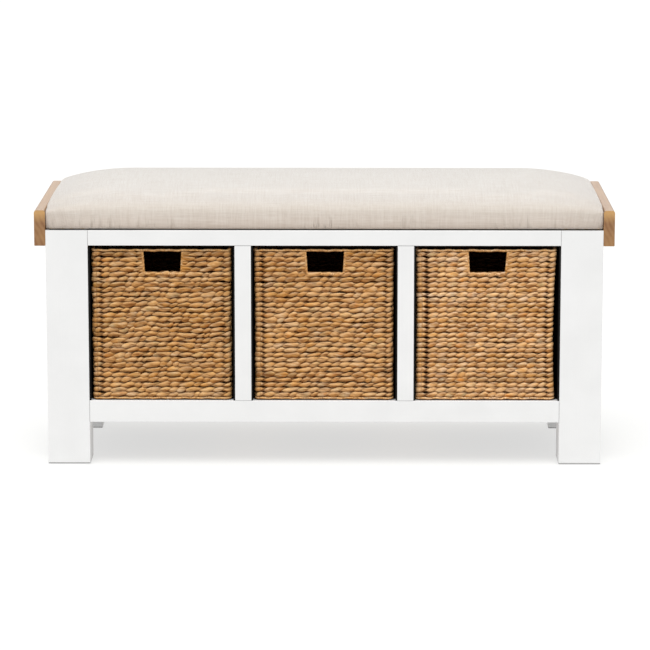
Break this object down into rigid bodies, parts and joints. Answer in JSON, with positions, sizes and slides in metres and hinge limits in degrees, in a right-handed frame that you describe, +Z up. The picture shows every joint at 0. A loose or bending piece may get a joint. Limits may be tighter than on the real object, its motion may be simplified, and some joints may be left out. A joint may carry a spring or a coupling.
{
  "type": "entryway bench",
  "caption": "White painted hall bench with oak end boards, a domed linen seat pad and pull-out woven baskets in open bays.",
  "frame": {"origin": "on the floor, under the middle of the bench", "axes": "+X along the bench to the right as seen from the front, +Y to the back, +Z up"},
  "size_m": [1.1, 0.4, 0.54],
  "materials": {
    "white_paint": "satin",
    "black_lining": "matte",
    "dark_board": "matte",
    "oak": "satin",
    "softwood": "matte",
    "plywood": "matte",
    "zinc_steel": "satin",
    "glide_plastic": "matte",
    "linen": "matte",
    "foam": "matte",
    "dust_cloth": "matte",
    "hyacinth_weave": "matte",
    "hyacinth_wrap": "matte",
    "black_wire": "satin"
  },
  "bodies": {
    "frame": {"back_bottom_rail": "white_paint", "back_left_leg": "white_paint", "back_lining": "black_lining", "back_panel": "white_paint", "back_right_leg": "white_paint", "back_shelf_cleat": "softwood", "back_top_cleat": "softwood", "back_top_rail": "white_paint", "bay_shelf": "dark_board", "cleat_screws": "zinc_steel", "end_board_screws": "zinc_steel", "front_bottom_rail": "white_paint", "front_left_leg": "white_paint", "front_right_leg": "white_paint", "front_shelf_cleat": "softwood", "front_top_cleat": "softwood", "front_top_rail": "white_paint", "left_bay_inner_lining": "black_lining", "left_bay_outer_lining": "black_lining", "left_bottom_rail": "white_paint", "left_divider_post": "softwood", "left_end_board": "oak", "left_front_stile": "white_paint", "left_shelf_batten": "softwood", "left_side_panel": "white_paint", "left_top_rail": "white_paint", "leg_glides": "glide_plastic", "middle_bay_left_lining": "black_lining", "middle_bay_right_lining": "black_lining", "right_bay_inner_lining": "black_lining", "right_bay_outer_lining": "black_lining", "right_bottom_rail": "white_paint", "right_divider_post": "softwood", "right_end_board": "oak", "right_front_stile": "white_paint", "right_shelf_batten": "softwood", "right_side_panel": "white_paint", "right_top_rail": "white_paint", "top_panel": "plywood"},
    "left_basket": {"left_basket_handle_binding": "hyacinth_wrap", "left_basket_rim": "hyacinth_wrap", "left_basket_weave": "hyacinth_weave", "left_basket_wire_frame": "black_wire"},
    "middle_basket": {"middle_basket_handle_binding": "hyacinth_wrap", "middle_basket_rim": "hyacinth_wrap", "middle_basket_weave": "hyacinth_weave", "middle_basket_wire_frame": "black_wire"},
    "seat_pad": {"pad_base_board": "plywood", "pad_cover": "linen", "pad_dust_cover": "dust_cloth", "pad_foam": "foam"},
    "right_basket": {"right_basket_handle_binding": "hyacinth_wrap", "right_basket_rim": "hyacinth_wrap", "right_basket_weave": "hyacinth_weave", "right_basket_wire_frame": "black_wire"}
  },
  "joints": [
    {"name": "left_basket_slide", "type": "slide", "parent": "frame", "child": "left_basket", "axis": [0, -1, 0], "range_m": [0, 0.4]},
    {"name": "middle_basket_slide", "type": "slide", "parent": "frame", "child": "middle_basket", "axis": [0, -1, 0], "range_m": [0, 0.4]},
    {"name": "right_basket_slide", "type": "slide", "parent": "frame", "child": "right_basket", "axis": [0, -1, 0], "range_m": [0, 0.4]},
    {"name": "seat_pad_lift", "type": "slide", "parent": "frame", "child": "seat_pad", "axis": [0, 0, 1], "range_m": [0, 0.12]}
  ]
}
